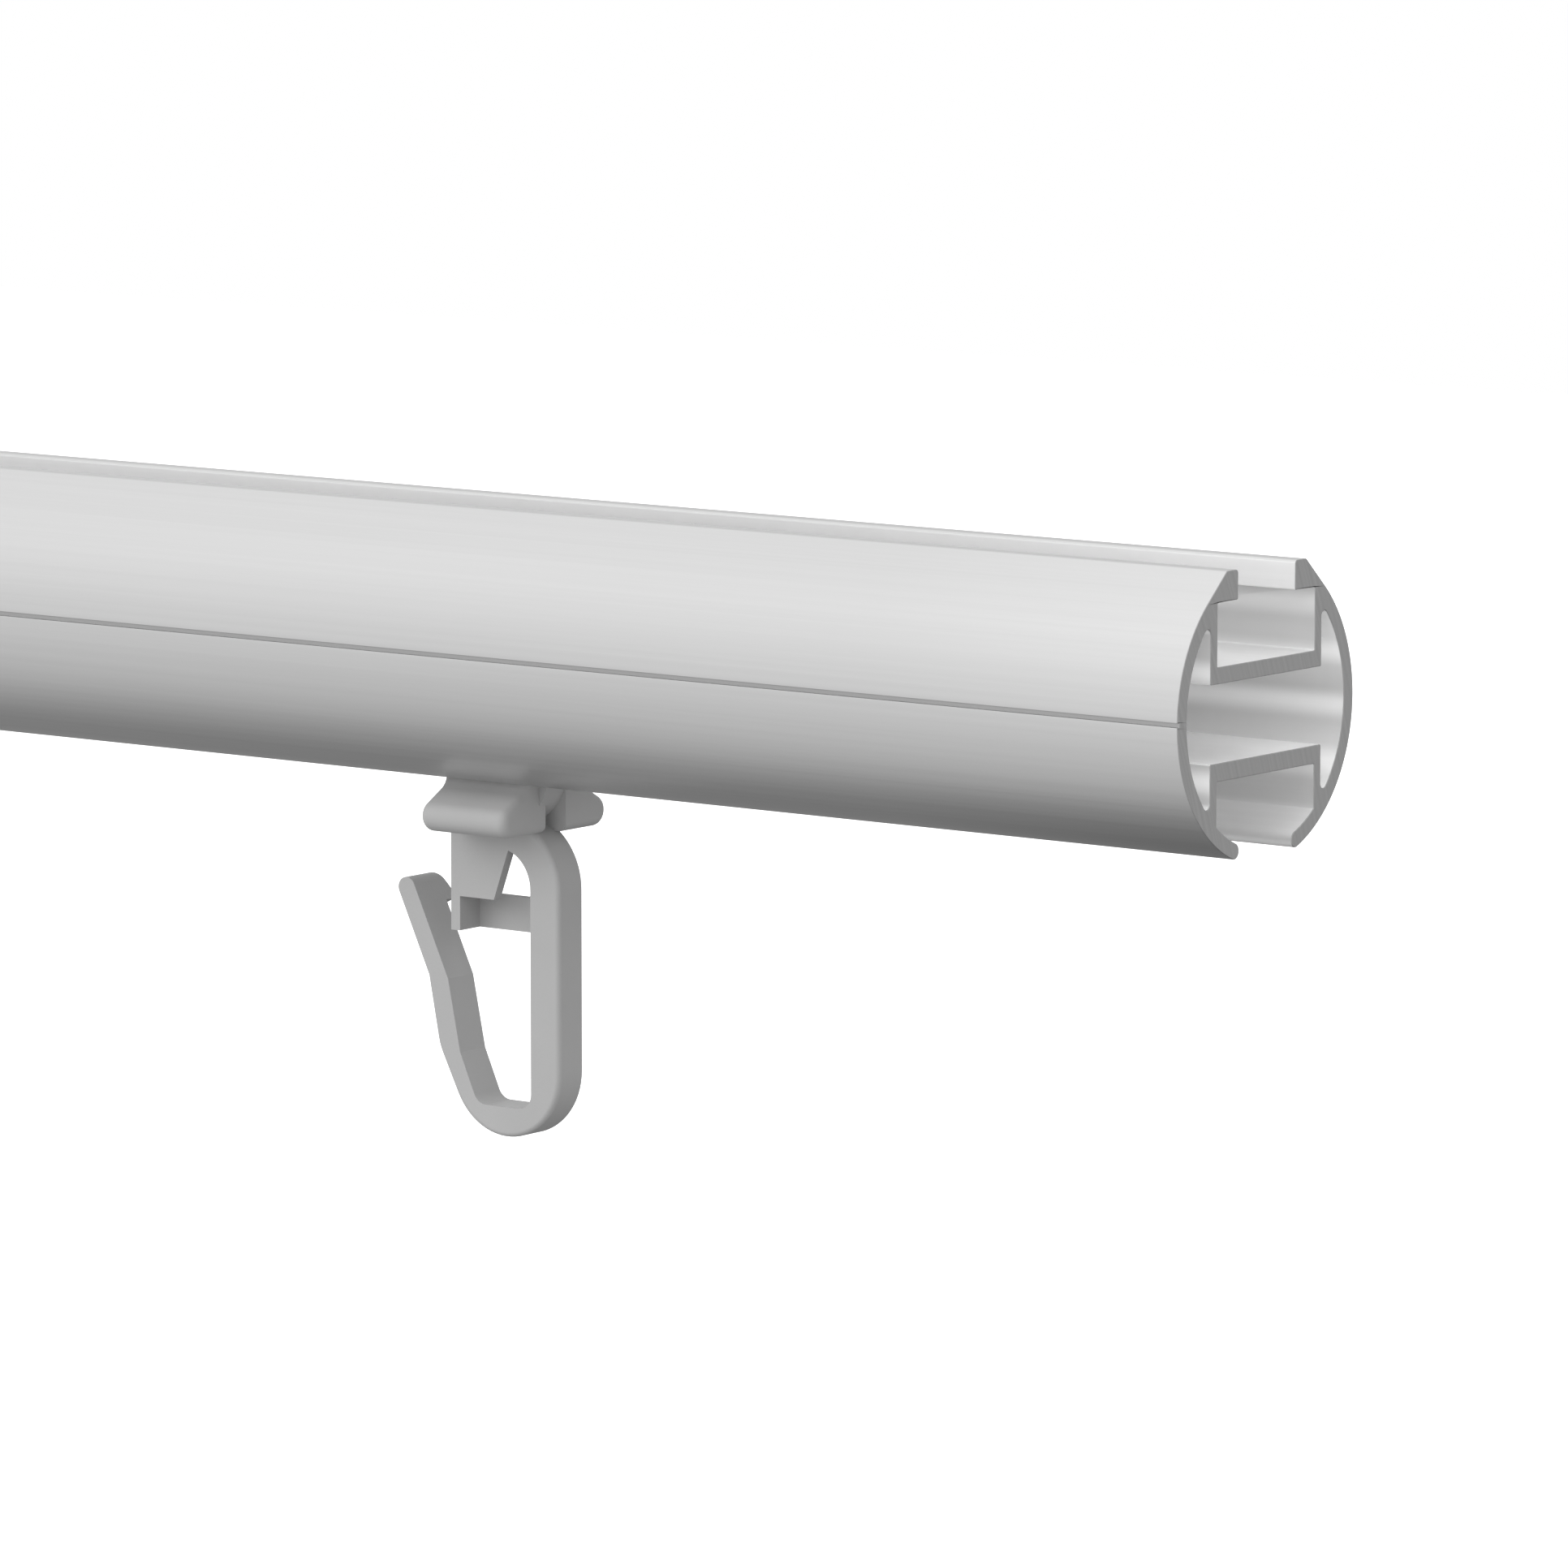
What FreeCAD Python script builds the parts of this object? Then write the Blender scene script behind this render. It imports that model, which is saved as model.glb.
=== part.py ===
import FreeCAD, Part
import math
import os
import Sketcher

# An inner-track curtain rod with one hook glider.
# The rod is one aluminium extrusion: a round tube with a bracket channel along
# its crown and a glider channel along its foot. The glider is one plastic
# moulding: a grooved head that clasps the lips of the lower slot, a disc
# between the two halves of the head, and a pleat hook below it.
# Millimetres. X runs along the rod and Z is up. The origin is at the middle of
# the rod's length, on the crown of the round, in the mouth of the upper slot.

SIZES = {
    # rod
    "rod_length": 600.0,
    "rod_radius": 10.0,
    "tube_wall": 1.05,
    "channel_half": 5.55,
    "channel_wall": 0.75,
    "upper_lip_thick": 2.55,
    "upper_channel_high": 4.15,
    "upper_web_wall": 1.1,
    "upper_slot_half": 3.25,
    "land_half": 4.5,
    "land_drop": 0.6,
    "land_round": 0.25,
    "lower_channel_high": 5.9,
    "lower_web_wall": 1.2,
    "lower_slot_half": 3.0,
    "lip_round": 0.5,
    "cavity_round": 0.38,
    "line_width": 0.3,
    "line_depth": 0.15,
    # glider head
    "glider_from_end": 62.0,
    "waist_rise": 0.85,
    "top_clearance": 0.28,
    "lip_clearance": 0.24,
    "plate_thick": 2.75,
    "disc_rise": 0.6,
    "block_length": 7.38,
    "block_stagger": 0.34,
    "side_clearance": 0.3,
    "bulge_radius": 1.08,
    "flank_angle": 29.0,
    "slot_clearance": 0.43,
    "block_round": 0.6,
    "round_share": 0.6,
    "rim_share": 0.9,
    # plate and column of the hook
    "plate_left": 4.38,
    "column_outer": 5.0,
    "column_wide": 2.46,
    "shoulder_radius": 4.9,
    "shoulder_drop": 7.75,
    "tooth_wide": 0.78,
    "tooth_drop": 11.06,
    "ledge_drop": 8.68,
    "bar_thick": 0.6,
    "front_wall": 0.75,
    "arch_radius": 2.7,
    "window_top_angle": 16.8,
    "window_foot": 0.64,
    # hook arm
    "hook_drop": 25.0,
    "foot_thick": 2.07,
    "bottom_radius": 4.75,
    "arm_foot_angle": 26.8,
    "arm_foot_inner": 2.13,
    "low_kink_inner": 3.65,
    "low_kink_inner_rise": 5.5,
    "low_kink_outer": 5.59,
    "low_kink_outer_rise": 5.78,
    "high_kink_inner": 4.69,
    "high_kink_inner_rise": 10.5,
    "high_kink_outer": 6.67,
    "high_kink_outer_rise": 11.32,
    "tip_reach": 8.31,
    "tip_rise": 16.51,
    "tip_radius": 0.72,
    "tip_angle": 25.1,
    "barb_reach": 1.15,
    "barb_long": 1.5,
    "barb_bow": 6.0,
    "inner_round": 1.1,
    "kink_round": 4.0,
    "edge_round": 0.35,
}


class Size:
    """A number together with the sheet expression that gives it."""

    def __init__(self, value, text):
        self.value = value
        self.text = text

    def __add__(self, other):
        other = as_size(other)
        return Size(self.value + other.value, f"({self.text} + {other.text})")

    def __sub__(self, other):
        other = as_size(other)
        return Size(self.value - other.value, f"({self.text} - {other.text})")

    def __mul__(self, other):
        other = as_size(other)
        return Size(self.value * other.value, f"({self.text} * {other.text})")

    def __truediv__(self, other):
        other = as_size(other)
        return Size(self.value / other.value, f"({self.text} / {other.text})")

    def __neg__(self):
        return Size(-self.value, f"(0 - {self.text})")


def as_size(number):
    if isinstance(number, Size):
        return number
    return Size(float(number), str(number))


ZERO = Size(0.0, "0")
# How far a cut runs past the material
CUT_MARGIN = Size(1.0, "1")
# How far apart two places may be and still count as one
SLACK = 0.02


def sine(angle):
    return Size(math.sin(math.radians(angle.value)), f"sin({angle.text})")


def cosine(angle):
    return Size(math.cos(math.radians(angle.value)), f"cos({angle.text})")


def smaller(one, other):
    return Size(min(one.value, other.value), f"min({one.text}; {other.text})")


def long_side(one, other):
    """The long side of a right triangle from its two short ones."""
    return Size(math.hypot(one.value, other.value), f"sqrt({one.text}^2 + {other.text}^2)")


def half_chord(radius, offset):
    """Half the chord of a circle at a distance from its centre, none beyond the circle."""
    value = math.sqrt(max(radius.value**2 - offset.value**2, 0.0))
    return Size(value, f"sqrt(max({radius.text}^2 - {offset.text}^2; 0))")


# Document, sheet and the values read from it

doc = FreeCAD.newDocument("curtain_rod")
sheet = doc.addObject("Spreadsheet::Sheet", "Sizes")
for row, (word, number) in enumerate(SIZES.items(), start=1):
    sheet.set(f"A{row}", word)
    sheet.set(f"B{row}", str(number))
    sheet.setAlias(f"B{row}", word)
doc.recompute()


def size(word):
    return Size(float(sheet.get(word)), f"Sizes.{word}")


# Small tools for sketches and features

def origin_plane(body, role):
    return next(part for part in body.Origin.OriginFeatures if part.Role == role)


def new_body(label):
    body = doc.addObject("PartDesign::Body", label)
    body.Label = label
    return body


def new_sketch(body, name, role, offset=None):
    """A sketch on one of the body's own planes, lifted along the plane's normal."""
    sketch = body.newObject("Sketcher::SketchObject", name)
    sketch.AttachmentSupport = [(origin_plane(body, role), "")]
    sketch.MapMode = "FlatFace"
    if offset is not None:
        sketch.setExpression("AttachmentOffset.Base.z", offset.text)
    return sketch


def bind(sketch, kind, place, amount):
    """Add one dimension to a sketch and tie it to the sheet."""
    number = sketch.addConstraint(Sketcher.Constraint(kind, *place, amount.value))
    sketch.setExpression(f"Constraints[{number}]", amount.text)


def draw_circle(sketch, x, y, radius):
    centre = FreeCAD.Vector(x.value, y.value, 0)
    circle = Part.Circle(centre, FreeCAD.Vector(0, 0, 1), radius.value)
    number = sketch.addGeometry(circle)
    bind(sketch, "DistanceX", (-1, 1, number, 3), x)
    bind(sketch, "DistanceY", (-1, 1, number, 3), y)
    bind(sketch, "Radius", (number,), radius)


def arc_between(start, end, radius, turn):
    """The shorter arc from start to end; turn is 1 to the left and -1 to the right."""
    chord = end - start
    away = math.sqrt(max(radius**2 - (chord.Length / 2) ** 2, 0.0))
    side = FreeCAD.Vector(-chord.y, chord.x, 0)
    side.normalize()
    centre = (start + end) * 0.5 + side * (away * turn)
    angle_start = math.atan2(start.y - centre.y, start.x - centre.x)
    angle_end = math.atan2(end.y - centre.y, end.x - centre.x)
    if turn < 0:
        angle_start, angle_end = angle_end, angle_start
    if angle_end < angle_start:
        angle_end += 2 * math.pi
    circle = Part.Circle(centre, FreeCAD.Vector(0, 0, 1), radius)
    return Part.ArcOfCircle(circle, angle_start, angle_end)


def draw_outline(sketch, corners):
    """Draw a closed outline.

    A corner is (x, y) where a straight line arrives, and (x, y, radius, turn)
    where an arc arrives from the corner before it.
    """
    points = [FreeCAD.Vector(corner[0].value, corner[1].value, 0) for corner in corners]
    ends = []
    for index, corner in enumerate(corners):
        start, end = points[index - 1], points[index]
        if len(corner) == 2:
            number = sketch.addGeometry(Part.LineSegment(start, end))
            first, last = 1, 2
        else:
            radius, turn = corner[2], corner[3]
            number = sketch.addGeometry(arc_between(start, end, radius.value, turn))
            first, last = (1, 2) if turn > 0 else (2, 1)
        ends.append((number, first, last))
    for index, corner in enumerate(corners):
        number, first, last = ends[index]
        before, _, before_last = ends[index - 1]
        sketch.addConstraint(Sketcher.Constraint("Coincident", before, before_last, number, first))
        bind(sketch, "DistanceX", (-1, 1, number, last), corner[0])
        bind(sketch, "DistanceY", (-1, 1, number, last), corner[1])
        if len(corner) == 4:
            bind(sketch, "Radius", (number,), corner[2])


def draw_rectangle(sketch, left, right, low, high):
    draw_outline(sketch, [(left, low), (right, low), (right, high), (left, high)])


def pad(body, sketch, name, length, both_sides=True, reverse=False):
    feature = body.newObject("PartDesign::Pad", name)
    feature.Profile = sketch
    feature.SideType = "Symmetric" if both_sides else "One side"
    feature.Reversed = reverse
    feature.setExpression("Length", length.text)
    return feature


def pocket(body, sketch, name, length, both_sides=True, reverse=False):
    """A pocket that has to take material away."""
    before = volume_now(body)
    feature = body.newObject("PartDesign::Pocket", name)
    feature.Profile = sketch
    feature.SideType = "Symmetric" if both_sides else "One side"
    feature.Reversed = reverse
    feature.setExpression("Length", length.text)
    if not volume_now(body) < before:
        raise RuntimeError(f"{name} cuts nothing")
    return feature


def volume_now(body):
    doc.recompute()
    return body.Shape.Volume


def fillet(body, name, radius, wanted, count=None):
    """Round the edges whose middle passes the test."""
    doc.recompute()
    names = []
    for number, edge in enumerate(body.Tip.Shape.Edges, start=1):
        middle = edge.valueAt((edge.FirstParameter + edge.LastParameter) / 2)
        if wanted(middle):
            names.append(f"Edge{number}")
    if not names or (count is not None and len(names) != count):
        raise RuntimeError(f"{name} finds {len(names)} edges")
    base = body.Tip
    feature = body.newObject("PartDesign::Fillet", name)
    feature.Base = (base, names)
    feature.setExpression("Radius", radius.text)
    doc.recompute()
    return feature


def near(value, target):
    return abs(value - target) < SLACK


# The rod

def add_channel_frames(body, upper_low, lower_high):
    """The walls and webs of both channels, solid until the channels are cut."""
    length = size("rod_length")
    outer = size("channel_half") + size("channel_wall")
    middle_of_wall = size("rod_radius") - size("tube_wall") / 2
    meets_wall = half_chord(middle_of_wall, outer)
    upper = new_sketch(body, "upper_channel_section", "YZ_Plane")
    draw_outline(upper, [
        (-outer, upper_low),
        (outer, upper_low),
        (outer, meets_wall),
        (-outer, meets_wall, middle_of_wall, 1),
    ])
    pad(body, upper, "upper_channel_frame", length)
    lower = new_sketch(body, "lower_channel_section", "YZ_Plane")
    draw_outline(lower, [
        (-outer, lower_high),
        (-outer, -meets_wall),
        (outer, -meets_wall, middle_of_wall, 1),
        (outer, lower_high),
    ])
    pad(body, lower, "lower_channel_frame", length)


def add_crown_lands(body):
    """Flat lands along the crown, with flanks that meet the round as tangents.

    They stand a little proud of the round. The tangent from a point P touches a
    circle of radius R about the origin at P R^2 / d^2, moved at a right angle to P
    by R / d^2 times the tangent's length times P, where d is the distance of P.
    """
    radius = size("rod_radius")
    edge = size("land_half")
    top = radius - size("land_drop")
    far = long_side(edge, top)
    square = far * far
    inward = radius * radius / square
    aside = radius * half_chord(far, radius) / square
    touch_y = edge * inward + top * aside
    touch_z = top * inward - edge * aside
    lands = new_sketch(body, "crown_land_section", "YZ_Plane")
    draw_outline(lands, [
        (-touch_y, touch_z),
        (touch_y, touch_z),
        (edge, top),
        (-edge, top),
    ])
    pad(body, lands, "crown_lands", size("rod_length"))
    level = new_sketch(body, "crown_level_section", "YZ_Plane")
    draw_rectangle(level, -edge, edge, top, radius + CUT_MARGIN)
    pocket(body, level, "crown_level", size("rod_length") + CUT_MARGIN)


def cut_bracket_channel(body, floor, lip):
    cut = size("rod_length") + CUT_MARGIN
    inner = size("channel_half")
    slot = size("upper_slot_half")
    room = new_sketch(body, "bracket_channel_section", "YZ_Plane")
    draw_rectangle(room, -inner, inner, floor, lip)
    pocket(body, room, "bracket_channel", cut)
    mouth = new_sketch(body, "bracket_slot_section", "YZ_Plane")
    draw_rectangle(mouth, -slot, slot, (floor + lip) / 2, size("rod_radius") + CUT_MARGIN)
    pocket(body, mouth, "bracket_slot", cut)


def cut_glider_channel(body, roof, bore):
    """The channel's floor follows the bore, so its lips are slices of the tube."""
    cut = size("rod_length") + CUT_MARGIN
    inner = size("channel_half")
    slot = size("lower_slot_half")
    lip_start = half_chord(bore, inner)
    track = new_sketch(body, "glider_channel_section", "YZ_Plane")
    draw_outline(track, [
        (-inner, roof),
        (-inner, -lip_start),
        (inner, -lip_start, bore, 1),
        (inner, roof),
    ])
    pocket(body, track, "glider_channel", cut)
    gate = new_sketch(body, "glider_slot_section", "YZ_Plane")
    draw_rectangle(gate, -slot, slot, -size("rod_radius") - CUT_MARGIN, -lip_start)
    pocket(body, gate, "glider_slot", cut)


def round_section(body, bore):
    """Round the lower slot's lips, the crown lands' edges and the side cavities' corners."""
    slot = size("lower_slot_half")
    lip_low = -half_chord(size("rod_radius"), slot).value
    lip_high = -half_chord(bore, slot).value

    def on_lip(middle):
        at_slot = near(abs(middle.y), slot.value)
        return at_slot and (near(middle.z, lip_low) or near(middle.z, lip_high))

    fillet(body, "lip_tips", size("lip_round"), on_lip, 4)
    top = (size("rod_radius") - size("land_drop")).value
    edges = (size("upper_slot_half").value, size("land_half").value)

    def on_land(middle):
        return near(middle.z, top) and any(near(abs(middle.y), edge) for edge in edges)

    fillet(body, "land_edges", size("land_round"), on_land, 4)
    outer = size("channel_half") + size("channel_wall")
    apex = half_chord(bore, outer).value

    def at_apex(middle):
        return near(abs(middle.y), outer.value) and near(abs(middle.z), apex)

    fillet(body, "cavity_apexes", size("cavity_round"), at_apex, 4)


def cut_sight_line(body):
    """A fine groove with a pointed floor, half way up the front."""
    radius = size("rod_radius")
    beyond = -radius - CUT_MARGIN
    half_line = size("line_width") / 2
    surface = -half_chord(radius, half_line)
    line = new_sketch(body, "sight_line_section", "YZ_Plane")
    draw_outline(line, [
        (beyond, -half_line),
        (surface, -half_line),
        (size("line_depth") - radius, ZERO),
        (surface, half_line),
        (beyond, half_line),
    ])
    pocket(body, line, "sight_line", size("rod_length") + CUT_MARGIN)


def make_rod(label):
    """The extrusion, with its section on the YZ plane and its round on the body's X axis."""
    radius = size("rod_radius")
    bore = radius - size("tube_wall")
    body = new_body(label)
    tube = new_sketch(body, "tube_section", "YZ_Plane")
    draw_circle(tube, ZERO, ZERO, radius)
    draw_circle(tube, ZERO, ZERO, bore)
    pad(body, tube, "tube", size("rod_length"))
    lip = radius - size("upper_lip_thick")
    floor = lip - size("upper_channel_high")
    roof = size("lower_channel_high") - radius
    add_channel_frames(body, floor - size("upper_web_wall"), roof + size("lower_web_wall"))
    add_crown_lands(body)
    cut_bracket_channel(body, floor, lip)
    cut_glider_channel(body, roof, bore)
    round_section(body, bore)
    cut_sight_line(body)
    body.setExpression("Placement.Base.z", (-radius).text)
    return body


# The glider

def draw_arch(corners, centre_x, centre_z, radius):
    """Add a half circle over the centre, from its left to its right."""
    corners.append((centre_x - radius, centre_z))
    corners.append((centre_x, centre_z + radius, radius, -1))
    corners.append((centre_x + radius, centre_z, radius, -1))


def above_foot(word):
    """A height on the hook, measured up from its lowest line."""
    return size(word) - size("hook_drop")


def make_hook_outline(body, thick):
    """Plate, column, foot and arm as one outline on the XZ plane."""
    left = -size("plate_left")
    right = size("column_outer")
    column = right - size("column_wide")
    shoulder = size("shoulder_radius")
    shoulder_z = -size("shoulder_drop")
    turn = size("bottom_radius")
    turn_x = right - turn
    turn_z = turn - size("hook_drop")
    foot = size("arm_foot_angle")
    floor = above_foot("foot_thick")
    tip_x = -size("tip_reach")
    tip_z = above_foot("tip_rise")
    tip = size("tip_radius")
    across = cosine(size("tip_angle")) * tip
    along = sine(size("tip_angle")) * tip
    sketch = new_sketch(body, "hook_outline", "XZ_Plane")
    draw_outline(sketch, [
        (left, -size("tooth_drop")),
        (left, shoulder_z + shoulder),
        (right - shoulder, shoulder_z + shoulder),
        (right, shoulder_z, shoulder, -1),
        (right, turn_z),
        (turn_x - cosine(foot) * turn, turn_z - sine(foot) * turn, turn, -1),
        (-size("low_kink_outer"), above_foot("low_kink_outer_rise")),
        (-size("high_kink_outer"), above_foot("high_kink_outer_rise")),
        (tip_x - across, tip_z - along),
        (tip_x - along, tip_z + across, tip, -1),
        (tip_x + across, tip_z + along, tip, -1),
        (-size("high_kink_inner"), above_foot("high_kink_inner_rise")),
        (-size("low_kink_inner"), above_foot("low_kink_inner_rise")),
        (-size("arm_foot_inner"), floor),
        (column, floor),
        (column, -size("tooth_drop")),
    ])
    pad(body, sketch, "hook", thick)


def round_hook(body, thick):
    """Rounds in the hook's outline, then the softened rim of its outer side."""
    column = (size("column_outer") - size("column_wide")).value
    foot = -size("arm_foot_inner").value
    floor = above_foot("foot_thick").value

    def in_floor(middle):
        in_corner = near(middle.x, column) or near(middle.x, foot)
        return near(middle.y, 0) and near(middle.z, floor) and in_corner

    fillet(body, "floor_corners", size("inner_round"), in_floor, 2)
    kink_x = -size("low_kink_outer").value
    kink_z = above_foot("low_kink_outer_rise").value

    def at_low_kink(middle):
        return near(middle.x, kink_x) and near(middle.y, 0) and near(middle.z, kink_z)

    fillet(body, "low_kink", size("kink_round"), at_low_kink, 1)
    right = size("column_outer").value
    face = thick.value / 2

    def on_column_rim(middle):
        """From here the round runs on along every edge that is tangent to the last."""
        return near(middle.x, right) and near(abs(middle.y), face)

    fillet(body, "outer_rim", size("edge_round"), on_column_rim, 2)


def make_barb(body, thick):
    """A catch behind the arm's tip: nothing at the top of the nose, full reach at its foot.

    It has the nose's own outline, and a bowed cut slants through it. The cut is drawn
    on a plane through the middle of the nose, along the arm.
    """
    lean = size("tip_angle")
    tip = size("tip_radius")
    long = size("barb_long")
    reach = size("barb_reach")
    tip_x = -size("tip_reach")
    tip_z = above_foot("tip_rise")
    across_x, across_z = cosine(lean) * tip, sine(lean) * tip
    down_x, down_z = sine(lean) * long, cosine(lean) * long
    back = thick / 2
    outline = new_sketch(body, "barb_outline", "XZ_Plane", -back)
    draw_outline(outline, [
        (tip_x - across_x + down_x, tip_z - across_z - down_z),
        (tip_x - across_x, tip_z - across_z),
        (tip_x - across_z, tip_z + across_x, tip, -1),
        (tip_x + across_x, tip_z + across_z, tip, -1),
        (tip_x + across_x + down_x, tip_z + across_z - down_z),
    ])
    pad(body, outline, "barb", reach, both_sides=False, reverse=True)
    cut = new_sketch(body, "barb_cut_outline", "YZ_Plane", tip_x)
    cut.setExpression("AttachmentOffset.Base.y", tip_z.text)
    cut.AttachmentOffset.Rotation = FreeCAD.Rotation(FreeCAD.Vector(-1, 0, 0), lean.value)
    cut.setExpression("AttachmentOffset.Rotation.Angle", lean.text)
    beyond = back + reach + CUT_MARGIN
    above = tip + CUT_MARGIN
    draw_outline(cut, [
        (back, above),
        (back, tip),
        (back + reach, -long, size("barb_bow"), -1),
        (beyond, -long),
        (beyond, above),
    ])
    pocket(body, cut, "barb_cut", (tip + CUT_MARGIN) * 2)


def make_plate_pockets(body, thick):
    """The ledge cut from the front, the arch cut from the back, the window through both."""
    column = size("column_outer") - size("column_wide")
    ledge = -size("ledge_drop")
    radius = size("arch_radius")
    arch_x = column - radius
    arch_z = -size("shoulder_drop")
    tooth = size("tooth_wide") - size("plate_left")
    foot = -size("tooth_drop")
    front = thick / 2
    recess = new_sketch(body, "ledge_outline", "XZ_Plane", front)
    draw_rectangle(recess, tooth, column, foot - CUT_MARGIN, ledge)
    pocket(body, recess, "ledge", thick - size("bar_thick"), both_sides=False)
    arch = new_sketch(body, "arch_outline", "XZ_Plane", -front)
    corners = [(column, ledge), (arch_x - radius, ledge)]
    draw_arch(corners, arch_x, arch_z, radius)
    draw_outline(arch, corners)
    pocket(body, arch, "arch", thick - size("front_wall"), both_sides=False, reverse=True)
    lean = size("window_top_angle")
    window = new_sketch(body, "window_outline", "XZ_Plane")
    draw_outline(window, [
        (column, ledge),
        (-size("window_foot"), ledge),
        (arch_x + sine(lean) * radius, arch_z + cosine(lean) * radius),
        (column, arch_z, radius, -1),
    ])
    pocket(body, window, "window", thick + CUT_MARGIN)


def disc_radius():
    """The disc reaches up to its clearance from the channel's roof."""
    room = size("lower_channel_high") - size("waist_rise") - size("top_clearance")
    return room - size("disc_rise")


def make_blocks(body, thick):
    """Two grooved blocks, one each side of the plate, staggered along the rod.

    A block's section is an hourglass: a round bulge above and below, each at its
    clearance from the channel's side and the lip, and straight flanks tangent to
    the bulges and to the groove between them. It is rooted half way into its
    half of the plate. Its edges are rounded by no more than a share of the groove,
    and of the length of its top that stands beyond the disc's rim.
    """
    widest = size("channel_half") - size("side_clearance")
    bulge = size("bulge_radius")
    centre_y = widest - bulge
    bore = size("rod_radius") - size("tube_wall")
    centre_reach = bore - size("lip_clearance") - bulge
    centre_z = size("rod_radius") - size("waist_rise") - half_chord(centre_reach, centre_y)
    flank = size("flank_angle")
    waist = size("lower_slot_half") - size("slot_clearance")
    tangent_y = centre_y + sine(flank) * bulge
    tangent_z = centre_z - cosine(flank) * bulge
    reach = (waist - tangent_y) * sine(flank) + tangent_z * cosine(flank)
    groove = reach / (as_size(1) - sine(flank))
    groove_y = waist + groove - sine(flank) * groove
    groove_z = cosine(flank) * groove
    root = thick / 4
    section = new_sketch(body, "block_section", "YZ_Plane", -size("block_stagger"))
    draw_outline(section, [
        (-root, -centre_z - bulge),
        (-root, centre_z + bulge),
        (-centre_y, centre_z + bulge),
        (-tangent_y, tangent_z, bulge, 1),
        (-groove_y, groove_z),
        (-groove_y, -groove_z, groove, -1),
        (-tangent_y, -tangent_z),
        (-centre_y, -centre_z - bulge, bulge, 1),
    ])
    front = pad(body, section, "front_block", size("block_length"))
    pair = body.newObject("PartDesign::PolarPattern", "both_blocks")
    pair.Originals = [front]
    pair.Axis = (origin_plane(body, "Z_Axis"), [""])
    pair.Angle = 360
    pair.Occurrences = 2
    body.Tip = pair
    doc.recompute()
    rim_x = half_chord(disc_radius(), centre_z + bulge - size("disc_rise"))
    beyond_rim = size("block_length") / 2 - size("block_stagger") - rim_x
    most = smaller(groove * size("round_share"), beyond_rim * size("rim_share"))
    edge_round = smaller(size("block_round"), most)
    half = size("block_length").value / 2
    shift = size("block_stagger").value
    face = thick.value / 2

    def on_block_end(middle):
        """Edges round the four end faces, apart from the seams along the plate."""
        centre = math.copysign(shift, middle.y)
        return near(abs(middle.x - centre), half) and abs(middle.y) > face + SLACK

    fillet(body, "block_edges", edge_round, on_block_end)


def make_glider(label):
    """The moulding, with its waist centre on the body's origin and its hook below."""
    thick = size("plate_thick")
    body = new_body(label)
    make_hook_outline(body, thick)
    round_hook(body, thick)

    disc = new_sketch(body, "disc_outline", "XZ_Plane")
    draw_circle(disc, ZERO, size("disc_rise"), disc_radius())
    pad(body, disc, "disc", thick)
    make_plate_pockets(body, thick)
    make_barb(body, thick)
    make_blocks(body, thick)

    from_middle = size("rod_length") / 2 - size("glider_from_end")
    waist_z = size("waist_rise") - size("rod_radius") * 2
    body.setExpression("Placement.Base.x", from_middle.text)
    body.setExpression("Placement.Base.z", waist_z.text)
    return body


bodies = [make_rod("rod_profile"), make_glider("glider")]
doc.recompute()

# Checks before anything is written

for part in doc.Objects:
    if "Invalid" in part.State or "Error" in part.State:
        raise RuntimeError(f"{part.Name} failed: {part.State}")
for body in bodies:
    shape = body.Shape
    if shape.isNull() or not shape.isValid() or len(shape.Solids) != 1:
        raise RuntimeError(f"{body.Label} is not one valid solid")
    box = shape.optimalBoundingBox()
    spans = (f"{low:.2f} to {high:.2f}" for low, high in
             ((box.XMin, box.XMax), (box.YMin, box.YMax), (box.ZMin, box.ZMax)))
    print(f"{body.Label}: {shape.Volume:.2f} mm3, {len(shape.Faces)} faces,", ", ".join(spans))

os.makedirs("parts", exist_ok=True)
for body in bodies:
    body.Shape.exportStep(f"parts/{body.Label}.step")
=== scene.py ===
"""Looks for an inner-track curtain rod with one hook glider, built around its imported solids.

The rod is redrawn as one smooth extrusion, because its facets would show as bands along
a satin tube. The glider keeps its own solid and gets a moulded plastic finish.
Sizes are millimetres in the fields and metres in the meshes. X runs along the rod.
"""

import logging
import math
from dataclasses import dataclass, field
from enum import Enum
from typing import Any, Sequence

import bpy
import numpy as np
from mathutils import Matrix, Vector
from mathutils.geometry import tessellate_polygon


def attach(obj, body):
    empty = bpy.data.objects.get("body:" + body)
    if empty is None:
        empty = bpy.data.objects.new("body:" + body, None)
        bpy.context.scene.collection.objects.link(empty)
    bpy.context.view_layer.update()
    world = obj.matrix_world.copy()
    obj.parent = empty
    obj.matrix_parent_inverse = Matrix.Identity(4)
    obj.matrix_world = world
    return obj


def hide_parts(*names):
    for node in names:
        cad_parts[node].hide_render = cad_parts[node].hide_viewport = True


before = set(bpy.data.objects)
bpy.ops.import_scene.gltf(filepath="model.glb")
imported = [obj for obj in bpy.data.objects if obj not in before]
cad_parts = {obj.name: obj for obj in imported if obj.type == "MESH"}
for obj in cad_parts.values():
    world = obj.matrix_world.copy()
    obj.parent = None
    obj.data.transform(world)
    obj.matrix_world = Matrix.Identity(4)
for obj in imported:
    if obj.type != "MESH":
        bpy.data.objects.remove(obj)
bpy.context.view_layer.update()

MM = 0.001
# Two points of an outline this near to each other, in millimetres, are one
SAME_PLACE = 1e-6
# How far beyond a limit, in millimetres, a face still counts as inside it
LEEWAY = 0.01
SLOT_LEEWAY = 0.02
# Step along an arc in millimetres, fewest points on an arc, and points on a round
ARC_STEP = 0.22
ARC_POINTS = 3
ROUND_POINTS = 8
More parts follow.
